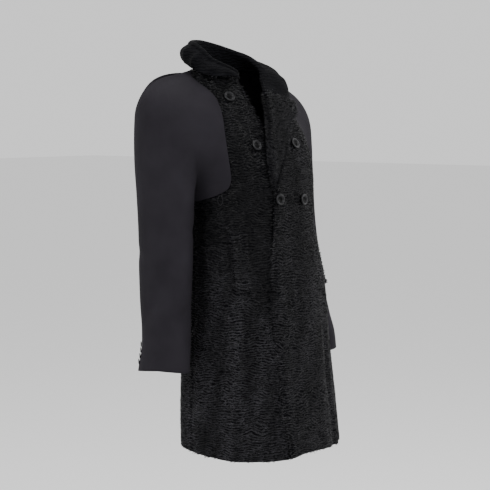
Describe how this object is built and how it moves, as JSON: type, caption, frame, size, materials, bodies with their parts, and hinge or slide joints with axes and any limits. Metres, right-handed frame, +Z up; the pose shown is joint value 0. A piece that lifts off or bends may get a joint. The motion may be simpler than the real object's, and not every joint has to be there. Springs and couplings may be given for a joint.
{
  "type": "faux fur coat",
  "caption": "Double-breasted A-line coat with a faux fur body, a fold-down fur collar, one folded lapel and plain raglan sleeves, held open as worn.",
  "frame": {"origin": "middle of the neck at the height of the shoulders, where a figure or a hanger holds the coat", "axes": "+Z up, the front faces -Y, the wearer's left is +X"},
  "size_m": [0.615, 0.3673, 0.9246],
  "materials": {
    "faux_fur": "black flat-lying faux broadtail pile with fine ripples",
    "plain_cloth": "matte dark cloth",
    "button": "polished black plastic"
  },
  "bodies": {
    "root": {"back": "faux_fur", "front_right": "faux_fur", "front_left": "faux_fur", "lapel_left": "faux_fur", "collar": "faux_fur", "pocket_welt_right": "faux_fur", "pocket_welt_left": "faux_fur", "sleeve_upper_right": "plain_cloth", "sleeve_under_right": "plain_cloth", "sleeve_upper_left": "plain_cloth", "sleeve_under_left": "plain_cloth", "button_right_top": "button", "button_right_chest": "button", "button_right_waist": "button", "button_left_chest": "button", "button_left_waist": "button", "cuff_button_right_1": "button", "cuff_button_right_2": "button", "cuff_button_right_3": "button", "cuff_button_right_4": "button", "cuff_button_left_1": "button", "cuff_button_left_2": "button", "cuff_button_left_3": "button", "cuff_button_left_4": "button"}
  },
  "joints": []
}
